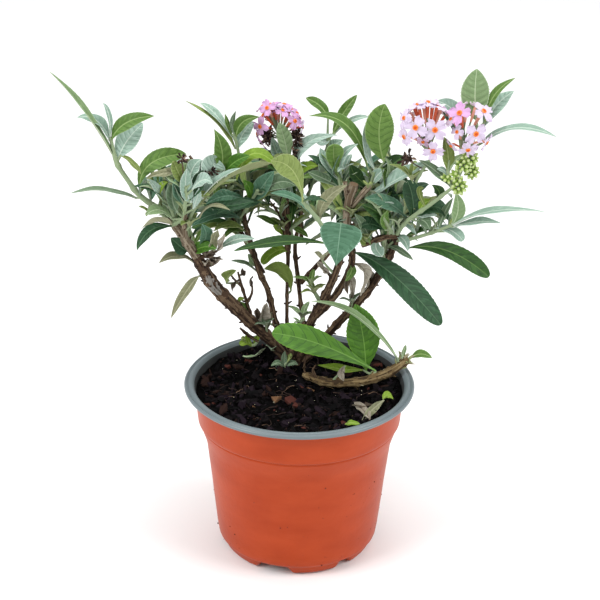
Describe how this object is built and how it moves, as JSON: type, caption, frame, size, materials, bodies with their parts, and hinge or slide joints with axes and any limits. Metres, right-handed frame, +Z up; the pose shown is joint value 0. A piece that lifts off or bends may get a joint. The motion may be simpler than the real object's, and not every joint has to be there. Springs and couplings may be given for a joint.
{
  "type": "potted butterfly bush",
  "caption": "Small flowering shrub with felted lance-shaped leaves and lilac flower heads on woody stems, in a round tapered plastic pot.",
  "frame": {"origin": "centre of the flat underside of the pot, on the surface that it stands on", "axes": "+Z up through the pot's axis, +X to the viewer's right, +Y to the back of the bush"},
  "size_m": [0.244, 0.1735, 0.2657],
  "materials": {
    "pot": "satin terracotta-coloured plastic, scuffed, with a grey inside and rim",
    "soil": "moist dark bark compost",
    "bark": "brown furrowed bark, peeling in grey strips",
    "green_wood": "pale green felted young shoots",
    "leaf": "grey-green felted leaves with sunken veins",
    "leaf_fresh": "bright green young leaves",
    "blossom": "lilac florets with orange throats and tubes"
  },
  "bodies": {
    "root": {"bough_back_left": "bark", "bough_back_right": "bark", "foliage_back_centre": "leaf", "foliage_back_left": "leaf", "foliage_back_right": "leaf", "foliage_centre": "leaf", "foliage_centre_blossom": "blossom", "foliage_front": "leaf", "foliage_left": "leaf", "foliage_left_crest": "leaf", "foliage_left_underside": "leaf", "foliage_right": "leaf", "foliage_right_blossom": "blossom", "foliage_right_buds": "leaf", "foliage_right_centre": "leaf", "foliage_right_crest": "leaf", "foliage_right_shoulder": "leaf", "foliage_top_centre": "leaf", "foliage_upper_left": "leaf", "leaf_base_front": "leaf_fresh", "leaf_base_side": "leaf_fresh", "leaf_base_upright": "leaf_fresh", "leaf_front_dark": "leaf", "leaf_front_drooping": "leaf", "leaf_left_hanging": "leaf", "leaf_left_high": "leaf", "leaf_left_low": "leaf", "leaf_left_tan": "leaf", "leaf_right_drooping": "leaf", "leaf_right_high": "leaf", "leaf_right_long": "leaf", "leaf_right_low": "leaf", "pot": "pot", "rootstock": "bark", "shoot_front": "green_wood", "shoot_left": "green_wood", "shoot_right": "green_wood", "soil": "soil", "sprout_base": "leaf_fresh", "stem_back": "bark", "stem_back_right": "bark", "stem_left": "bark", "stem_left_inner": "bark", "stem_middle": "bark", "stem_middle_fork": "bark", "stem_right": "bark", "twig_trailing": "bark"}
  },
  "joints": []
}
